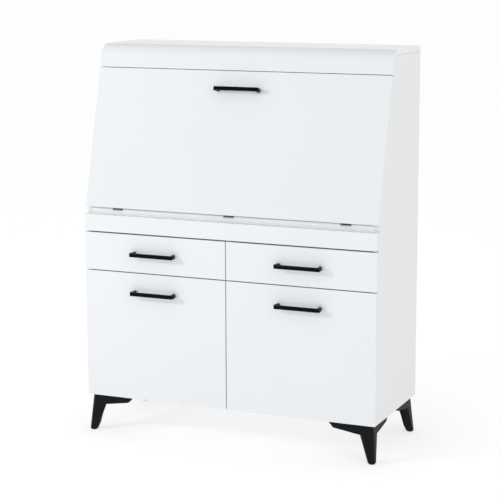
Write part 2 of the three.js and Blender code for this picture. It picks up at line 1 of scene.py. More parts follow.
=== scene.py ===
"""Secretary desk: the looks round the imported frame. Metres, +Z up, the front faces -Y."""

import json
import math

import bmesh
import bpy
from mathutils import Matrix, Vector


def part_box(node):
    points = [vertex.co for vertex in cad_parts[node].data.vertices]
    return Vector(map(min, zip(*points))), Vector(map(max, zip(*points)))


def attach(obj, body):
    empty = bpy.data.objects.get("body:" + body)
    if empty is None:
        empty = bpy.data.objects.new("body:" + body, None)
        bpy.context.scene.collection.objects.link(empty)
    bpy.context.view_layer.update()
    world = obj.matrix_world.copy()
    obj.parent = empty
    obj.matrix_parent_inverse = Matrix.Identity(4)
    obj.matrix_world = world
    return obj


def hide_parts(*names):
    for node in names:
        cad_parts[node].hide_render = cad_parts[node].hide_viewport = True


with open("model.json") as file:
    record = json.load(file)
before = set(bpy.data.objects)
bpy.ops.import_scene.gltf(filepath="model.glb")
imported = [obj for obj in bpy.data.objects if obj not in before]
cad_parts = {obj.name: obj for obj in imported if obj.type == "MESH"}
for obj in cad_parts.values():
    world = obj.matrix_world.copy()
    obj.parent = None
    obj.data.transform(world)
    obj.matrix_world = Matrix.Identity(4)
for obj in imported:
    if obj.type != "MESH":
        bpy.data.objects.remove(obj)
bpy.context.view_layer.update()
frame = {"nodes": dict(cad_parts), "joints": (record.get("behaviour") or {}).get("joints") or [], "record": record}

MM = 0.001
SHARP = math.radians(40)  # edges over this angle stay sharp
SIDES = (("left", -1), ("right", 1))  # each side's name and its direction along X
NODES = frame["nodes"]


# ---------------------------------------------------------------- node helpers

class Shader:
    """A material being built: a Principled shader and short calls for the nodes before it."""

    def __init__(self, name):
        self.material = bpy.data.materials.new(name)
        self.material.use_nodes = True
        self.tree = self.material.node_tree
        self.shader = self.tree.nodes["Principled BSDF"]
        self.coords = self.tree.nodes.new("ShaderNodeTexCoord")

    def link(self, source, target):
        self.tree.links.new(source, target)

    def put(self, socket, value):
        if isinstance(value, bpy.types.NodeSocket):
            self.link(value, socket)
        else:
            socket.default_value = value

    def set(self, **values):
        for key, value in values.items():
            self.put(self.shader.inputs[key.replace("_", " ").title().replace("Ior", "IOR")], value)

    def place(self, scale=(1, 1, 1)):
        """Object coordinates, stretched by scale."""
        mapping = self.tree.nodes.new("ShaderNodeMapping")
        mapping.inputs["Scale"].default_value = scale
        self.link(self.coords.outputs["Object"], mapping.inputs["Vector"])
        return mapping.outputs["Vector"]

    def noise(self, scale, detail=3.0, roughness=0.5, stretch=(1, 1, 1)):
        node = self.tree.nodes.new("ShaderNodeTexNoise")
        node.inputs["Scale"].default_value = scale
        node.inputs["Detail"].default_value = detail
        node.inputs["Roughness"].default_value = roughness
        self.link(self.place(stretch), node.inputs["Vector"])
        return node.outputs["Fac"]

    def cells(self, scale, stretch=(1, 1, 1)):
        node = self.tree.nodes.new("ShaderNodeTexVoronoi")
        node.inputs["Scale"].default_value = scale
        self.link(self.place(stretch), node.inputs["Vector"])
        return node.outputs["Distance"]

    def remap(self, value, low, high, to_low, to_high, smooth=False):
        node = self.tree.nodes.new("ShaderNodeMapRange")
        node.interpolation_type = "SMOOTHSTEP" if smooth else "LINEAR"
        self.put(node.inputs["Value"], value)
        node.inputs["From Min"].default_value = low
        node.inputs["From Max"].default_value = high
        node.inputs["To Min"].default_value = to_low
        node.inputs["To Max"].default_value = to_high
        return node.outputs["Result"]

    def math(self, operation, a, b=0.0):
        node = self.tree.nodes.new("ShaderNodeMath")
        node.operation = operation
        self.put(node.inputs[0], a)
        self.put(node.inputs[1], b)
        return node.outputs["Value"]

    def mix(self, factor, a, b):
        """A colour from a (factor 0) to b (factor 1)."""
        node = self.tree.nodes.new("ShaderNodeMix")
        node.data_type = "RGBA"
        self.put(node.inputs["Factor"], factor)
        self.put(node.inputs["A"], a)
        self.put(node.inputs["B"], b)
        return node.outputs["Result"]

    def bump(self, height, distance, strength=1.0, before=None):
        node = self.tree.nodes.new("ShaderNodeBump")
        node.inputs["Distance"].default_value = distance
        node.inputs["Strength"].default_value = strength
        self.put(node.inputs["Height"], height)
        if before is not None:
            self.link(before, node.inputs["Normal"])
        return node.outputs["Normal"]

    def facing(self):
        """The three parts of the surface's own direction, which turn with the piece."""
        node = self.tree.nodes.new("ShaderNodeSeparateXYZ")
        self.link(self.coords.outputs["Normal"], node.inputs["Vector"])
        return node.outputs


def rgb(r, g, b):
    return (r, g, b, 1.0)


# ---------------------------------------------------------------- materials

def lacquer_material():
    """High-gloss white foil on the show face; satin edging on the edges and the back of the board."""
    m = Shader("gloss_white_lacquer")
    facing = m.facing()
    outward = m.math("MAXIMUM", m.math("MULTIPLY", facing["Y"], -1.0), facing["Z"])
    show = m.remap(outward, 0.55, 0.8, 0.0, 1.0, smooth=True)
    cloud = m.noise(3.0, 2.0)
    speck = m.remap(m.noise(900.0, 1.0), 0.72, 0.78, 0.0, 1.0)
    gloss = m.mix(cloud, rgb(0.755, 0.785, 0.805), rgb(0.785, 0.805, 0.83))
    edging = m.mix(cloud, rgb(0.77, 0.775, 0.785), rgb(0.8, 0.805, 0.815))
    colour = m.mix(show, edging, gloss)
    m.set(base_color=m.mix(m.math("MULTIPLY", speck, 0.05), colour, rgb(0.5, 0.5, 0.5)))
    film = m.remap(m.noise(14.0, 4.0, 0.65), 0.35, 0.7, 0.13, 0.2)
    satin = m.remap(m.noise(260.0, 2.0), 0.3, 0.7, 0.34, 0.44)
    rough = m.math("ADD", m.math("MULTIPLY", film, show),
                   m.math("MULTIPLY", satin, m.math("SUBTRACT", 1.0, show)))
    m.set(roughness=rough, coat_weight=0.35, coat_roughness=0.06, specular_ior_level=0.5)
    peel = m.bump(m.noise(170.0, 1.5), 0.00004, 0.5)
    m.set(normal=m.bump(m.noise(1600.0, 2.0), 0.00001, 0.35, before=peel))
    return m.material


def melamine_material(name, dark, light, fleck_colour):
    """Satin white melamine with a fine pearl texture and faint grey flecks."""
    m = Shader(name)
    cloud = m.noise(2.2, 3.0)
    grain = m.noise(620.0, 3.0, 0.6)
    base = m.mix(cloud, dark, light)
    fleck = m.remap(grain, 0.35, 0.7, 0.0, 0.12)
    m.set(base_color=m.mix(fleck, base, fleck_colour))
    m.set(roughness=m.remap(grain, 0.3, 0.7, 0.33, 0.46), specular_ior_level=0.45)
    pearl = m.bump(m.cells(900.0), 0.00003, 0.5)
    m.set(normal=m.bump(m.noise(2600.0, 2.0), 0.00001, 0.3, before=pearl))
    return m.material


def drawer_board_material():
    """Matt white foil on the thin drawer boards, with short printed fibres."""
    m = Shader("matt_white_drawer_board")
    fibre = m.noise(320.0, 4.0, 0.6, stretch=(1, 0.12, 1))
    base = m.mix(m.noise(5.0, 2.0), rgb(0.74, 0.74, 0.735), rgb(0.78, 0.78, 0.775))
    m.set(base_color=m.mix(m.remap(fibre, 0.4, 0.75, 0.0, 0.2), base, rgb(0.66, 0.66, 0.65)))
    m.set(roughness=m.remap(fibre, 0.3, 0.7, 0.45, 0.58), specular_ior_level=0.4)
    m.set(normal=m.bump(fibre, 0.00003, 0.5))
    return m.material


def hardboard_material():
    """White-faced hardboard: felted fibres under a thin coat."""
    m = Shader("white_hardboard")
    fibre = m.noise(140.0, 5.0, 0.65, stretch=(1, 1, 0.45))
    mesh = m.cells(480.0)
    base = m.mix(m.noise(1.8, 2.0), rgb(0.72, 0.72, 0.71), rgb(0.77, 0.77, 0.76))
    m.set(base_color=m.mix(m.remap(fibre, 0.42, 0.75, 0.0, 0.3), base, rgb(0.62, 0.61, 0.59)))
    m.set(roughness=m.remap(fibre, 0.3, 0.7, 0.5, 0.66), specular_ior_level=0.35)
    felt = m.bump(fibre, 0.00008, 0.5)
    m.set(normal=m.bump(mesh, 0.00004, 0.4, before=felt))
    return m.material


def moulded_black_material(name, dark, light, scale):
    """Black moulded plastic with an eroded grain."""
    m = Shader(name)
    grain = m.noise(scale, 4.0, 0.6)
    pits = m.cells(scale * 0.9)
    streak = m.noise(30.0, 3.0, 0.6, stretch=(1, 1, 0.2))
    colour = m.mix(m.remap(streak, 0.3, 0.75, 0.0, 1.0), dark, light)
    m.set(base_color=m.mix(m.remap(grain, 0.5, 0.8, 0.0, 0.35), colour, rgb(0.03, 0.029, 0.03)))
    m.set(roughness=m.remap(grain, 0.3, 0.7, 0.38, 0.56), specular_ior_level=0.11)
    rough = m.bump(pits, 0.00006, 0.6)
    m.set(normal=m.bump(grain, 0.00004, 0.5, before=rough))
    return m.material


def powder_coat_material():
    """Satin black powder coat, with the fine orange peel that it has."""
    m = Shader("black_powder_coat")
    peel = m.noise(1400.0, 2.0)
    wear = m.remap(m.noise(60.0, 4.0, 0.7), 0.55, 0.8, 0.0, 0.5)
    m.set(base_color=m.mix(wear, rgb(0.002, 0.002, 0.0025), rgb(0.005, 0.005, 0.006)))
    m.set(roughness=m.remap(m.noise(90.0, 3.0), 0.3, 0.7, 0.3, 0.42))
    m.set(specular_ior_level=0.06, coat_weight=0.01, coat_roughness=0.3)
    m.set(normal=m.bump(peel, 0.00003, 0.6))
    return m.material


def metal_material(name, dark, light, roughness, stretch, scale=500.0):
    """Plated steel with fine drawing lines along one direction."""
    m = Shader(name)
    lines = m.noise(scale, 3.0, 0.6, stretch=stretch)
    stain = m.noise(40.0, 3.0, 0.6)
    m.set(base_color=m.mix(m.remap(stain, 0.3, 0.7, 0.0, 1.0), dark, light), metallic=1.0)
    m.set(roughness=m.remap(lines, 0.3, 0.7, roughness - 0.06, roughness + 0.1))
    m.set(normal=m.bump(lines, 0.00002, 0.5))
    return m.material


def coated_steel_material():
    """White epoxy-coated sheet steel."""
    m = Shader("white_coated_steel")
    peel = m.noise(700.0, 2.0)
    m.set(base_color=m.mix(m.noise(20.0, 3.0), rgb(0.72, 0.72, 0.71), rgb(0.78, 0.78, 0.77)))
    m.set(roughness=m.remap(peel, 0.3, 0.7, 0.26, 0.36), specular_ior_level=0.5)
    m.set(normal=m.bump(peel, 0.00003, 0.5))
    return m.material


def soft_plastic_material(name, dark, light, roughness, transmission=0.0):
    """Small plastic parts with a fine grain: wheels, stay heads and bumpers; also the dark discs of the bored
    holes, the bare board's brown darkened with painted shade.
    """
    m = Shader(name)
    grain = m.noise(1200.0, 3.0)
    m.set(base_color=m.mix(m.noise(80.0, 2.0), dark, light))
    m.set(roughness=m.remap(grain, 0.3, 0.7, roughness - 0.05, roughness + 0.08))
    m.set(transmission_weight=transmission)
    m.set(normal=m.bump(grain, 0.00003, 0.4))
    return m.material


LACQUER = lacquer_material()
MELAMINE = melamine_material(
    "satin_white_melamine",
    rgb(0.77, 0.772, 0.77), rgb(0.8, 0.8, 0.798), rgb(0.76, 0.76, 0.755))
# The worktop's copy of the melamine is painted lighter than the carcass's: painted light that lifts the shade
# under the flap.
WORKTOP_MELAMINE_PAINTED_LIGHTER = melamine_material(
    "worktop_melamine_painted_lighter",
    rgb(0.895, 0.9, 0.905), rgb(0.915, 0.92, 0.925), rgb(0.86, 0.865, 0.87))
DRAWER_BOARD = drawer_board_material()
BACKING = hardboard_material()
FOOT_PLASTIC = moulded_black_material(
    "black_moulded_plastic", rgb(0.004, 0.0036, 0.0038), rgb(0.0075, 0.0068, 0.007), 1500.0)
POWDER = powder_coat_material()
NICKEL = metal_material(
    "nickel_plated_steel", rgb(0.56, 0.56, 0.57), rgb(0.68, 0.68, 0.68), 0.28, (1, 0.08, 1))
# Steel coloured dark for the flap hinges and their screws.
DARK_STEEL = metal_material(
    "dark_flap_hinge_steel", rgb(0.06, 0.06, 0.065), rgb(0.13, 0.13, 0.135), 0.36, (1, 0.1, 1))
ZINC = metal_material(
    "zinc_plated_screws", rgb(0.5, 0.51, 0.53), rgb(0.64, 0.65, 0.66), 0.36, (1, 1, 1), 900.0)
COATED = coated_steel_material()
NYLON = soft_plastic_material(
    "white_nylon", rgb(0.7, 0.7, 0.68), rgb(0.76, 0.76, 0.74), 0.4)
GREY_PLASTIC = soft_plastic_material(
    "grey_plastic", rgb(0.2, 0.205, 0.21), rgb(0.26, 0.265, 0.27), 0.45)
# Dark brown for the discs that stand for the bored holes: the bare board's brown, darkened with painted shade for
# their depth.
BORED_HOLE_SHADE = soft_plastic_material(
    "bored_hole_painted_shade", rgb(0.045, 0.036, 0.028), rgb(0.08, 0.064, 0.05), 0.85)
CLEAR_RUBBER = soft_plastic_material(
    "clear_bumper", rgb(0.8, 0.8, 0.78), rgb(0.86, 0.86, 0.84), 0.22, 0.6)

SLOT_MATERIALS = {
    "gloss_white": LACQUER,
    "carcass_white": MELAMINE,
    "drawer_white": DRAWER_BOARD,
    "back_hardboard": BACKING,
    "foot_black": FOOT_PLASTIC,
    "handle_black": POWDER,
    "hinge_steel": NICKEL,
    "hinge_dark": DARK_STEEL,
    "runner_steel": COATED,
    "stay_head": GREY_PLASTIC,
}
# The worktop takes the melamine painted lighter, to lift the shade that the flap casts on it.
NODE_MATERIALS = {"worktop": WORKTOP_MELAMINE_PAINTED_LIGHTER}  # in place of its slot's material


# ---------------------------------------------------------------- edges of the carried-over nodes

def smooth_group():
    """Geometry nodes that smooth every face and keep the sharp edges."""
    group = bpy.data.node_groups.new("smooth_by_angle", "GeometryNodeTree")
    group.interface.new_socket("Geometry", in_out="INPUT", socket_type="NodeSocketGeometry")
    group.interface.new_socket("Geometry", in_out="OUTPUT", socket_type="NodeSocketGeometry")
    new, link = group.nodes.new, group.links.new
    source, result = new("NodeGroupInput"), new("NodeGroupOutput")
    faces, edges = new("GeometryNodeSetShadeSmooth"), new("GeometryNodeSetShadeSmooth")
    faces.domain, edges.domain = "FACE", "EDGE"
    angle, compare = new("GeometryNodeInputMeshEdgeAngle"), new("FunctionNodeCompare")
    compare.operation = "LESS_THAN"
    compare.inputs[1].default_value = SHARP
    link(source.outputs[0], faces.inputs["Geometry"])
    link(faces.outputs["Geometry"], edges.inputs["Geometry"])
    link(angle.outputs["Unsigned Angle"], compare.inputs[0])
    link(compare.outputs[0], edges.inputs["Shade Smooth"])
    link(edges.outputs["Geometry"], result.inputs[0])
    return group


SMOOTH = smooth_group()


def soften(obj, width, segments=2):
    """Rounded edges and even shading, by modifiers only."""
    if width:
        bevel = obj.modifiers.new("edge_rounding", "BEVEL")
        bevel.width = width
        bevel.segments = segments
        bevel.limit_method = "ANGLE"
        bevel.angle_limit = SHARP
        bevel.use_clamp_overlap = True
    smooth = obj.modifiers.new("smooth_by_angle", "NODES")
    smooth.node_group = SMOOTH
    weighted = obj.modifiers.new("even_shading", "WEIGHTED_NORMAL")
    weighted.keep_sharp = True


def give(obj, material):
    obj.data.materials.clear()
    obj.data.materials.append(material)


EDGE_WIDTHS = {
    "gloss_white": 1.0 * MM,
    "carcass_white": 0.6 * MM,
    "drawer_white": 0.5 * MM,
    "back_hardboard": 0.2 * MM,
    "hinge_steel": 0.25 * MM,
    "hinge_dark": 0.25 * MM,
    "runner_steel": 0.25 * MM,
    "stay_head": 0.8 * MM,
    "foot_black": 1.5 * MM,
    "handle_black": 1.4 * MM,
}

ROUNDEST = ("handle_black", "gloss_white")  # slots whose edges take one segment more


def dress_nodes():
    """The material and the edge rounding of every carried-over node."""
    for part in frame["record"]["subparts"]:
        node = NODES[part["node"]]
        slot = part["material_slot"]
        give(node, NODE_MATERIALS.get(node.name, SLOT_MATERIALS[slot]))
        soften(node, EDGE_WIDTHS[slot], 3 if slot in ROUNDEST else 2)


dress_nodes()


# ---------------------------------------------------------------- mesh helpers

def turned(profile, steps=24):
    """A closed turned shape round +Z. The profile is (radius, height) pairs, from bottom to top."""
    bm = bmesh.new()
    rings = []
    for radius, height in profile:
        ring = []
        for step in range(steps):
            angle = 2 * math.pi * step / steps
            ring.append(bm.verts.new((radius * math.cos(angle), radius * math.sin(angle), height)))
        rings.append(ring)
    for low, high in zip(rings, rings[1:]):
        for i in range(steps):
            j = (i + 1) % steps
            bm.faces.new((low[i], low[j], high[j], high[i]))
    bm.faces.new(rings[0][::-1])
    bm.faces.new(rings[-1])
    return bm


def fill_between(bm, loops):
    """Flat faces between an outer loop of vertices and the loops inside it."""
    edges = []
    for loop in loops:
        for a, b in zip(loop, loop[1:] + loop[:1]):
            edges.append(bm.edges.get((a, b)) or bm.edges.new((a, b)))
    bmesh.ops.triangle_fill(bm, use_beauty=True, edges=edges)


def cross_outline(reach, half):
    """The corners of a plus sign, anticlockwise."""
    quarter = [(half, half), (half, reach), (-half, reach)]
    return [turn_point(x, y, quarter_turn) for quarter_turn in range(4) for x, y in quarter]


def turn_point(x, y, quarter_turns):
    for _ in range(quarter_turns):
        x, y = -y, x
    return x, y


def screw_head(radius, height, domed=True):
    """A screw's head with a cross recess, its underside at z = 0."""
    low = 0.45 * height if domed else 0.9 * height
    shoulder = 0.8 if domed else 0.97
    profile = [(radius * 0.98, 0), (radius, low), (radius * shoulder, height)]
    steps = 24
    bm = turned(profile, steps)
    bm.faces.ensure_lookup_table()
    bm.faces.remove(bm.faces[-1])
    bm.verts.ensure_lookup_table()
    rim = list(bm.verts)[-steps:]
    cross = cross_outline(radius * 0.52, radius * 0.13)
    floor_height = height - min(radius * 0.6, height * 0.9)
    top = [bm.verts.new((x, y, height)) for x, y in cross]
    floor = [bm.verts.new((x * 0.6, y * 0.6, floor_height)) for x, y in cross]
    fill_between(bm, [rim, top])
    for i in range(len(cross)):
        j = (i + 1) % len(cross)
        bm.faces.new((top[i], top[j], floor[j], floor[i]))
    bm.faces.new(floor)
    bmesh.ops.recalc_face_normals(bm, faces=bm.faces)
    return bm


def rounded_outline(width, height, radius, steps=6):
    """A rectangle with rounded corners, anticlockwise round the origin."""
    points = []
    for corner, (sx, sy) in enumerate(((1, 1), (-1, 1), (-1, -1), (1, -1))):
        cx, cy = sx * (width / 2 - radius), sy * (height / 2 - radius)
        for step in range(steps + 1):
            angle = (corner + step / steps) * math.pi / 2
            points.append((cx + radius * math.cos(angle), cy + radius * math.sin(angle)))
    return points


def circle_outline(radius, steps):
    angles = [2 * math.pi * i / steps for i in range(steps)]
    return [(radius * math.cos(angle), radius * math.sin(angle)) for angle in angles]


def plate(outline, thickness, holes=()):
    """A flat plate from z = 0 up, with its outline and holes as lists of points."""
    bm = bmesh.new()
    loops = [[bm.verts.new((x, y, 0)) for x, y in points] for points in (outline, *holes)]
    fill_between(bm, loops)
    grown = bmesh.ops.extrude_face_region(bm, geom=bm.faces[:])
    risen = [item for item in grown["geom"] if isinstance(item, bmesh.types.BMVert)]
    bmesh.ops.translate(bm, verts=risen, vec=(0, 0, thickness))
    bmesh.ops.recalc_face_normals(bm, faces=bm.faces)
    return bm


def looking(point, direction, spin=0.0):
    """The place of a shape whose own +Z looks along direction, turned by spin round it.

    A screw's spin is any number that differs from its neighbours', so their recesses don't line up.
    """
    turn = Vector(direction).to_track_quat("Z", "Y").to_matrix().to_4x4()
    return Matrix.Translation(point) @ turn @ Matrix.Rotation(spin, 4, "Z")


def frame_of(point, x_axis, y_axis, z_axis):
    """The place of a shape whose own axes lie along the three given ones."""
    columns = Matrix((x_axis, y_axis, z_axis)).transposed().to_4x4()
    return Matrix.Translation(point) @ columns


class Kit:
    """One visible piece made of copies of small shapes."""

    def __init__(self):
        self.bm = bmesh.new()

    def add(self, shape, *places):
        mesh = bpy.data.meshes.new("shape")
        shape.to_mesh(mesh)
        for place in places:
            copy = mesh.copy()
            copy.transform(place)
            if place.determinant() < 0:
                copy.flip_normals()
            self.bm.from_mesh(copy)
            bpy.data.meshes.remove(copy)
        bpy.data.meshes.remove(mesh)
        return self

    def finish(self, name, body, slot, material, rounding=0.0, stands_for=()):
        mesh = bpy.data.meshes.new(name)
        self.bm.to_mesh(mesh)
        self.bm.free()
        piece = bpy.data.objects.new(name, mesh)
        bpy.context.collection.objects.link(piece)
        give(piece, material)
        soften(piece, rounding)
        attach(piece, body)
        if stands_for:
            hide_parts(*stands_for)
        return piece


def middle(node):
    """The middle of a node's box."""
    low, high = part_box(node)
    return (Vector(low) + Vector(high)) / 2


PAN_SCREW = (4.2 * MM, 2.4 * MM)  # radius and height of the head
FLAT_SCREW = (3.4 * MM, 0.5 * MM)
HANDLE_HOLE = 64 * MM  # from the middle of a handle to each of its screws
X, Y, Z = Vector((1, 0, 0)), Vector((0, 1, 0)), Vector((0, 0, 1))
JOINTS = {joint["name"]: joint for joint in frame["joints"]}
HINGE = Vector(JOINTS["flap_hinge"]["pos_m"])
TILT = math.radians(JOINTS["flap_hinge"]["range_deg"][1] - 90)
OUT = Vector((0, -math.cos(TILT), math.sin(TILT)))  # away from the closed flap's outer face
UP = Vector((0, math.sin(TILT), math.cos(TILT)))  # up the closed flap
DOOR_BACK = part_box("door_left")[1][1]
WALL = -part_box("side_panel_left")[1][0]  # inner face of a side panel, from the middle


def on_flap(x, out, along):
    """A point on the closed flap: out from its inner face and along from its axis."""
    return Vector((x, HINGE.y, HINGE.z)) + OUT * out + UP * along


# ---------------------------------------------------------------- flap: hinges, stays and handle

def flap_hinge_screws():
    """Two flush screws in each leaf of the flap hinges."""
    head = screw_head(*FLAT_SCREW, domed=False)
    fixed, moving = Kit(), Kit()
    across, along, sunk = 8.5 * MM, 10.5 * MM, 0.1 * MM
    for place in ("left", "centre", "right"):
        x = middle(f"flap_hinge_{place}_fixed_leaf").x
        for side in (-1, 1):
            screw_x = x + side * across
            fixed.add(head, looking((screw_x, HINGE.y + along, HINGE.z - sunk), Z, side + x))
            moving.add(head, looking(on_flap(screw_x, sunk, along), -OUT, side - x))
    fixed.finish("flap_hinge_screws_worktop", "carcass", "hinge_dark", DARK_STEEL)
    moving.finish("flap_hinge_screws_flap", "flap", "hinge_dark", DARK_STEEL)


def pivot_pin(radius, length):
    """A plain pin along Z with a low head on both ends, centred on the origin."""
    head = 1.6 * radius
    end = [(radius, length / 2), (head, length / 2), (head, length / 2 + 0.6 * MM),
           (head * 0.8, length / 2 + 1.0 * MM)]
    return turned([(r, -z) for r, z in reversed(end)] + end)


def stay_bracket(label):
    """The forked bracket that holds a stay's eye on the flap."""
    pivot = Vector(JOINTS[f"flap_stay_{label}_rod_pivot"]["pos_m"])
    along = (pivot - HINGE).dot(UP)
    depth = -(pivot - Vector((pivot.x, HINGE.y, HINGE.z))).dot(OUT)
    sheet, play = 1.3 * MM, 0.4 * MM
    ear_half, ear_round, ear_steps = 9 * MM, 6 * MM, 12
    low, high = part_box(f"flap_stay_{label}_rod")
    eye_half = (high[0] - low[0]) / 2
    ear = [(-ear_half, 0), (ear_half, 0)]
    for step in range(ear_steps + 1):
        angle = math.pi * step / ear_steps
        ear.append((ear_round * math.cos(angle), depth + ear_round * math.sin(angle)))
    base = plate(rounded_outline(19 * MM, 46 * MM, 4 * MM), sheet)
    kit = Kit().add(base, frame_of(on_flap(pivot.x, 0, along), X, UP, -OUT))
    for side in (-1, 1):
        inner = pivot.x + side * (eye_half + play + sheet / 2) - sheet / 2
        kit.add(plate(ear, sheet), frame_of(on_flap(inner, 0, along), UP, -OUT, X))
        screw = on_flap(pivot.x, -sheet, along + side * 16 * MM)
        kit.add(screw_head(*PAN_SCREW), looking(screw, -OUT, side))
    kit.add(pivot_pin(2.2 * MM, 2 * (eye_half + play + sheet)), looking(pivot, X))
    kit.finish(f"flap_stay_{label}_bracket", "flap", "hinge_steel", NICKEL, 0.2 * MM)


def stay_mount(label, side):
    """The plate on the side panel in which a stay's head turns."""
    swivel = Vector(JOINTS[f"flap_stay_{label}_head_swivel"]["pos_m"])
    low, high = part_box(f"flap_stay_{label}_head")
    sheet = 1.6 * MM
    hole = circle_outline((high[2] - low[2]) / 2 + 0.4 * MM, 32)
    mount = plate(rounded_outline(27 * MM, 62 * MM, 8 * MM), sheet, [hole])
    centre = Vector((side * WALL, swivel.y, swivel.z))
    kit = Kit().add(mount, frame_of(centre, Y, Z, X * -side))
    for end in (-1, 1):
        place = centre + Z * end * 22 * MM - X * side * sheet
        kit.add(screw_head(*PAN_SCREW), looking(place, X * -side, end))
    kit.finish(f"flap_stay_{label}_mount", "carcass", "hinge_steel", NICKEL, 0.2 * MM)


def handle_screws(name, body, centre, inwards):
    """The two screws, with their washers, that hold a handle from the back of its front."""
    kit = Kit()
    washer_top = 0.8 * MM
    washer = turned([(5.6 * MM, 0), (5.8 * MM, 0.3 * MM), (5.6 * MM, washer_top)])
    for side in (-1, 1):
        place = centre + X * side * HANDLE_HOLE
        kit.add(washer, looking(place, inwards))
        kit.add(screw_head(*PAN_SCREW),
                looking(place + inwards * washer_top, inwards, side * 0.7 + centre.x))
    kit.finish(f"{name}_screws", body, "hinge_steel", ZINC)


def bumpers(name, body, places, outwards, height):
    """Clear stick-on buttons."""
    button = turned([(4.0 * MM, 0), (4.0 * MM, height * 0.4), (3.4 * MM, height * 0.85),
                     (2.2 * MM, height)])
    kit = Kit().add(button, *[looking(place, outwards) for place in places])
    kit.finish(name, body, "stay_head", CLEAR_RUBBER)


def flap_details():
    """Everything small on the flap and for it."""
    flap_hinge_screws()
    for label, side in SIDES:
        stay_bracket(label)
        stay_mount(label, side)
    handle = (middle("flap_handle") - HINGE).dot(UP)
    handle_screws("flap_handle", "flap", on_flap(0, 0, handle), -OUT)
    top = (Vector(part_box("flap")[1]) - HINGE).dot(UP) - 14 * MM
    edge = WALL + 8 * MM
    corners = [on_flap(side * edge, 0, along) for _, side in SIDES for along in (top, top / 2)]
    bumpers("flap_bumpers", "flap", corners, -OUT, 0.4 * MM)


# ---------------------------------------------------------------- doors and their concealed hinges

def hinge_cup(node, side, body):
    """Pressed cup with its two wings, screws and the saddle that the links turn in."""
    centre = middle(node)
    centre.y = DOOR_BACK
    cup = turned([(16.2 * MM, -11.5 * MM), (17.2 * MM, -10.6 * MM), (17.4 * MM, 0.3 * MM),
                  (17.0 * MM, 0.5 * MM), (15.8 * MM, 0.4 * MM), (15.4 * MM, -9.4 * MM),
                  (14.4 * MM, -10.2 * MM), (2.0 * MM, -10.4 * MM)], 40)
    kit = Kit().add(cup, looking(centre, Y))
    wing = plate(rounded_outline(18 * MM, 17 * MM, 5 * MM), 1.2 * MM)
    cheek = plate(rounded_outline(12 * MM, 17 * MM, 3 * MM), 1.5 * MM)
    inwards = X * -side
    for end in (-1, 1):
        wing_place = centre + inwards * 4 * MM + Z * end * 23 * MM
        screw = wing_place + Z * end * 1.5 * MM + Y * 1.2 * MM
        kit.add(wing, frame_of(wing_place, X, Z, Y))
        kit.add(screw_head(*PAN_SCREW), looking(screw, Y, end))
        kit.add(cheek, frame_of(centre + inwards * 3 * MM + Z * (end * 7.5 - 0.75) * MM, X, Y, Z))
    pin = pivot_pin(1.5 * MM, 16.6 * MM)
    outer_pin = centre + inwards * 4 * MM + Y * 5 * MM
    inner_pin = outer_pin + (inwards * -4 - Y * 5.5) * MM
    kit.add(pin, looking(outer_pin, Z), looking(inner_pin, Z))
    kit.finish(f"{node}_pressed", body, "hinge_steel", NICKEL, 0.15 * MM, [node])


def hinge_arm(node, side):
    """Channel-shaped arm on its winged mounting plate, with the adjusting screws."""
    low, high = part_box(node)
    centre = middle(node)
    wall = Vector((side * WALL, 0, centre.z))
    inwards = X * -side
    start, end = low[1], high[1]
    reach = high[0] - low[0]
    profile = [(start, 0.3 * reach), (start + 4 * MM, 0.14 * reach), (end, 0.14 * reach),
               (end, 0.62 * reach), (end - 7 * MM, 0.9 * reach), (start + 10 * MM, reach),
               (start + 3 * MM, 0.9 * reach), (start, 0.7 * reach)]
    arm_half = 8 * MM
    arm = plate(profile, 2 * arm_half)
    wings_middle = start + 36 * MM
    wings = plate(rounded_outline(36 * MM, 48 * MM, 9 * MM), 2 * MM)
    kit = Kit()
    kit.add(arm, frame_of(wall - Z * arm_half, Y, inwards, Z))
    kit.add(wings, frame_of(wall + Y * wings_middle, Y, Z, inwards))
    for end in (-1, 1):
        wing_screw = wall + Y * wings_middle + Z * end * 16 * MM + inwards * 2 * MM
        kit.add(screw_head(*PAN_SCREW), looking(wing_screw, inwards, end))
        height = (0.94 - end * 0.01) * reach
        set_screw = wall + Y * (wings_middle + end * 14 * MM) + inwards * height
        kit.add(screw_head(*PAN_SCREW), looking(set_screw, inwards, end * 0.5))
    kit.finish(f"{node}_pressed", "carcass", "hinge_steel", NICKEL, 0.8 * MM, [node])


def door_details(label, side):
    """Hinges, handle screws and bumpers of one door."""
    body = f"door_{label}"
    for place in ("lower", "upper"):
        hinge_cup(f"door_{label}_hinge_{place}_cup", side, body)
        hinge_arm(f"door_{label}_hinge_{place}_arm", side)
    handle = middle(f"door_{label}_handle")
    handle_screws(f"door_{label}_handle", body, Vector((handle.x, DOOR_BACK, handle.z)), Y)
    low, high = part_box(f"door_{label}")
    near_centre = side * 5 * MM
    places = [Vector((near_centre, DOOR_BACK, z)) for z in (low[2] + 40 * MM, high[2] - 12 * MM)]
    bumpers(f"door_{label}_bumpers", body, places, Y, 0.9 * MM)


# ---------------------------------------------------------------- drawers and their runners

def roller(radius, width):
    """A wheel with a hub that stands out on both sides, centred on the origin, its axis along Z."""
    half = width / 2
    hub = 0.32 * radius
    return turned([(hub * 0.6, -half - 0.5 * MM), (hub, -half - 0.3 * MM), (hub, -half),
                   (radius - 0.8 * MM, -half), (radius, -half + 0.8 * MM), (radius, half - 0.8 * MM),
                   (radius - 0.8 * MM, half), (hub, half), (hub, half + 0.3 * MM),
                   (hub * 0.6, half + 0.5 * MM)], 28)


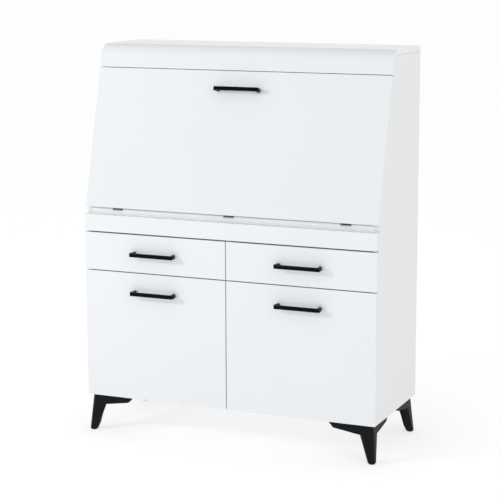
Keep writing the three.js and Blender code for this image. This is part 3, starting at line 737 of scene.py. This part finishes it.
def drawer_details(label, side):
    """Handle screws, runner wheels and runner screws of one drawer."""
    body = f"drawer_{label}"
    handle = middle(f"drawer_{label}_handle")
    handle_screws(f"drawer_{label}_handle", body, Vector((handle.x, DOOR_BACK, handle.z)), Y)
    sheet, air, roller_width = 1.2 * MM, 0.2 * MM, 6 * MM
    still_rollers, moving_rollers, still_screws, moving_screws = Kit(), Kit(), Kit(), Kit()
    flat, pan = screw_head(*FLAT_SCREW, domed=False), screw_head(*PAN_SCREW)
    for place in ("inner", "outer"):
        cab_low, cab_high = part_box(f"runner_{label}_{place}_cabinet")
        low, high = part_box(f"runner_{label}_{place}_drawer")
        out = side if place == "outer" else -side
        wall = cab_high[0] if out > 0 else cab_low[0]
        board = (high[0] if out > 0 else low[0]) - out * 8.3 * MM
        roller_x = wall - out * (sheet + 0.6 * MM + roller_width / 2)
        track_top, track_low = high[2] - sheet, cab_low[2] + sheet
        still_radius, moving_radius = 8 * MM, (track_top - track_low) / 2 - air
        still_rollers.add(roller(still_radius, roller_width), looking(
            (roller_x, cab_low[1] + 12 * MM, track_top - air - still_radius), X))
        moving_rollers.add(roller(moving_radius, roller_width), looking(
            (roller_x, high[1] - 11 * MM, (track_top + track_low) / 2), X))
        still_z, moving_z = (cab_low[2] + cab_high[2]) / 2, low[2] + 13 * MM
        for share in (0.18, 0.5, 0.86):
            y = cab_low[1] + share * (cab_high[1] - cab_low[1])
            still_screws.add(flat, looking((wall - out * sheet, y, still_z), X * -out, share * 9))
            moving_screws.add(flat, looking((board + out * sheet, y, moving_z), X * out, share * 7))
        side_low, side_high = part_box(f"drawer_{label}_side_{place}")
        outer_face = side_high[0] if out > 0 else side_low[0]
        for z in (side_high[2] - 12 * MM, side_high[2] - 44 * MM):
            moving_screws.add(pan, looking((outer_face, side_high[1] - 6 * MM, z), X * out, z * 50))
    still_rollers.finish(f"runner_{label}_rollers_cabinet", "carcass", "stay_head", NYLON)
    moving_rollers.finish(f"runner_{label}_rollers_drawer", body, "stay_head", NYLON)
    still_screws.finish(f"runner_{label}_screws_cabinet", "carcass", "hinge_steel", ZINC)
    moving_screws.finish(f"runner_{label}_screws_drawer", body, "hinge_steel", ZINC)


# ---------------------------------------------------------------- carcass: pins, cam locks, nails and feet

PIN_ROWS = (42 * MM, 228 * MM)  # behind the shelf's front edge
HOLE_SPACING = 32 * MM


def shelf_supports(label, side):
    """Four pins under a cupboard shelf, and the rows of spare holes above and below them, drawn as thin dark discs
    of painted shade.
    """
    low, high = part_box(f"cupboard_shelf_{label}")
    floor_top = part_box("bottom_panel")[1][2]
    pin = turned([(3.5 * MM, 0), (3.5 * MM, 0.7 * MM), (2.5 * MM, 0.9 * MM), (2.5 * MM, 7.4 * MM),
                  (2.0 * MM, 8.0 * MM)], 20)
    # Each spare hole is a thin disc on the wall, coloured dark: painted shade for the hole's depth.
    hole = turned([(2.9 * MM, 0), (2.8 * MM, 0.06 * MM), (2.5 * MM, 0.1 * MM)], 20)
    pins, holes = Kit(), Kit()
    faces = [(side * WALL, -side), (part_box("centre_partition")[1][0] * side, side)]
    pin_z = low[2] - 2.6 * MM
    for face, inwards in faces:
        for row in PIN_ROWS:
            pins.add(pin, looking((face, low[1] + row, pin_z), X * inwards))
            for step in range(-4, 6):
                z = pin_z + step * HOLE_SPACING
                if step and z > floor_top + 30 * MM:
                    holes.add(hole, looking((face, low[1] + row, z), X * inwards))
    pins.finish(f"cupboard_shelf_{label}_pins", "carcass", "hinge_steel", NICKEL)
    holes.finish(f"cupboard_{label}_pin_holes", "carcass", "carcass_white", BORED_HOLE_SHADE)


def cam_locks():
    """The turned locks that draw the boards together, near both ends of each long board."""
    kit = Kit()
    lock = screw_head(7.4 * MM, 0.8 * MM, domed=False)
    boards = (("bottom_panel", 1, Z), ("worktop", 0, -Z), ("inner_shelf", 0, -Z))
    for node, face, direction in boards:
        low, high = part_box(node)
        z = (low, high)[face][2]
        for _, side in SIDES:
            for y in (low[1] + 40 * MM, high[1] - 50 * MM):
                kit.add(lock, looking((side * (WALL - 34 * MM), y, z), direction, side + y * 30))
    kit.finish("cam_locks", "carcass", "hinge_steel", ZINC)


def back_nails():
    """Small nails that hold the hardboard in its rabbets and on the boards behind it."""
    kit = Kit()
    nail = turned([(2.1 * MM, 0), (2.2 * MM, 0.15 * MM), (1.6 * MM, 0.45 * MM)], 14)
    low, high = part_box("back_panel")
    inset = 4 * MM
    columns = (low[0] + inset, middle("centre_partition").x, high[0] - inset)
    rows = [middle(node).z for node in ("bottom_panel", "worktop", "inner_shelf")]
    bottom, top = low[2] + inset, high[2] - inset
    upwards, across = 9, 8  # spaces between nails
    for x in columns:
        tallest = top if x else rows[1]
        for step in range(upwards + 1):
            z = bottom + (tallest - bottom) * step / upwards
            kit.add(nail, looking((x, high[1], z), Y))
    for z in (*rows, top):
        for step in range(1, across):
            x = columns[0] + (columns[2] - columns[0]) * step / across
            kit.add(nail, looking((x, high[1], z), Y))
    kit.finish("back_panel_nails", "carcass", "hinge_steel", ZINC)


def foot_screws(node):
    """Screws up through both arms of a foot."""
    low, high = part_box(node)
    right, far = middle(node).x > 0, middle(node).y > 0
    corner = Vector((high[0] if right else low[0], high[1] if far else low[1], 0))
    inwards = Vector((-1 if right else 1, -1 if far else 1, 0))
    kit = Kit()
    centre_line = 15.5 * MM  # of each arm, from the foot's outer corner
    for reach in (70 * MM, 112 * MM):
        for dx, dy in ((reach, centre_line), (centre_line, reach)):
            start = corner + Vector((inwards.x * dx, inwards.y * dy, 0))
            hit, place, normal, _ = NODES[node].ray_cast(start, Z)
            if hit:
                kit.add(screw_head(*PAN_SCREW), looking(place, normal, reach * 20))
    kit.finish(f"{node}_screws", "carcass", "hinge_steel", ZINC)


flap_details()
for label, side in SIDES:
    door_details(label, side)
    drawer_details(label, side)
    shelf_supports(label, side)
cam_locks()
back_nails()
for corner in ("front_left", "front_right", "back_right", "back_left"):
    foot_screws(f"foot_{corner}")


# ---------------------------------------------------------------- floor, light and camera

def stage():
    """A wide pale floor that glows, which lifts the shadows on it; the glow is weaker near the object, a painted
    shade round it, and a little brighter away from it, so that it meets a white horizon.
    """
    reach = 40.0
    corners = [(-reach, -reach, 0), (reach, -reach, 0), (reach, reach, 0), (-reach, reach, 0)]
    mesh = bpy.data.meshes.new("floor")
    mesh.from_pydata(corners, [], [(0, 1, 2, 3)])
    floor = bpy.data.objects.new("floor", mesh)
    bpy.context.collection.objects.link(floor)
    m = Shader("pale_floor")
    m.set(base_color=m.mix(m.noise(1.5, 2.0), rgb(0.46, 0.46, 0.46), rgb(0.48, 0.48, 0.48)))
    m.set(roughness=0.9, specular_ior_level=0.0)
    away = m.tree.nodes.new("ShaderNodeVectorMath")
    away.operation = "LENGTH"
    m.link(m.coords.outputs["Object"], away.inputs[0])
    # The floor's glow lifts its shadows, and it is weaker near the object: a painted shade round it.
    glow_with_painted_shade = m.remap(away.outputs["Value"], 0.3, 1.0, 0.58, 0.64, smooth=True)
    m.set(emission_color=rgb(1, 1, 1), emission_strength=glow_with_painted_shade)
    give(floor, m.material)


def sky():
    """Even light from all round: white at the horizon, a little darker above it."""
    world = bpy.data.worlds.new("studio")
    world.use_nodes = True
    nodes, links = world.node_tree.nodes, world.node_tree.links
    direction = nodes.new("ShaderNodeTexCoord")
    split = nodes.new("ShaderNodeSeparateXYZ")
    strength = nodes.new("ShaderNodeMapRange")
    background = nodes["Background"]
    strength.inputs["From Min"].default_value = 0.01
    strength.inputs["From Max"].default_value = 0.16
    strength.inputs["To Min"].default_value = 1.03
    strength.inputs["To Max"].default_value = 0.74
    background.inputs["Color"].default_value = (0.985, 0.99, 1.0, 1.0)
    links.new(direction.outputs["Generated"], split.inputs["Vector"])
    links.new(split.outputs["Z"], strength.inputs["Value"])
    links.new(strength.outputs["Result"], background.inputs["Strength"])
    bpy.context.scene.world = world


def area_light(name, place, target, size, watts):
    data = bpy.data.lights.new(name, "AREA")
    data.shape = "SQUARE"
    data.size = size
    data.energy = watts
    light = bpy.data.objects.new(name, data)
    bpy.context.collection.objects.link(light)
    light.location = place
    light.rotation_mode = "QUATERNION"
    light.rotation_quaternion = (Vector(target) - Vector(place)).to_track_quat("-Z", "Y")
    return light


def lights():
    """A small key light at the left, for the handles' shadows, and a soft one at the right."""
    sky()
    key = area_light("key", (-2.8, -2.7, 2.05), (0, 0, 0.7), 0.4, 42)
    key.visible_glossy = False  # it leaves no glare on the gloss fronts
    area_light("fill", (3.6, -2.4, 2.2), (0, 0, 0.6), 3.0, 23)


def camera():
    """The photograph's camera."""
    data = bpy.data.cameras.new("camera")
    data.lens = 118.1
    data.sensor_width = 36
    data.clip_end = 200
    cam = bpy.data.objects.new("camera", data)
    bpy.context.collection.objects.link(cam)
    cam.location = (1.914, -4.410, 1.460)
    yaw, pitch, roll = math.radians(23.43), math.radians(10.60), math.radians(-0.209)
    look = Matrix.Rotation(yaw, 4, "Z") @ Matrix.Rotation(math.pi / 2 - pitch, 4, "X")
    cam.rotation_mode = "QUATERNION"
    cam.rotation_quaternion = (look @ Matrix.Rotation(roll, 4, "Z")).to_quaternion()
    bpy.context.scene.camera = cam


stage()
lights()
camera()
bpy.context.scene.view_settings.view_transform = "Standard"
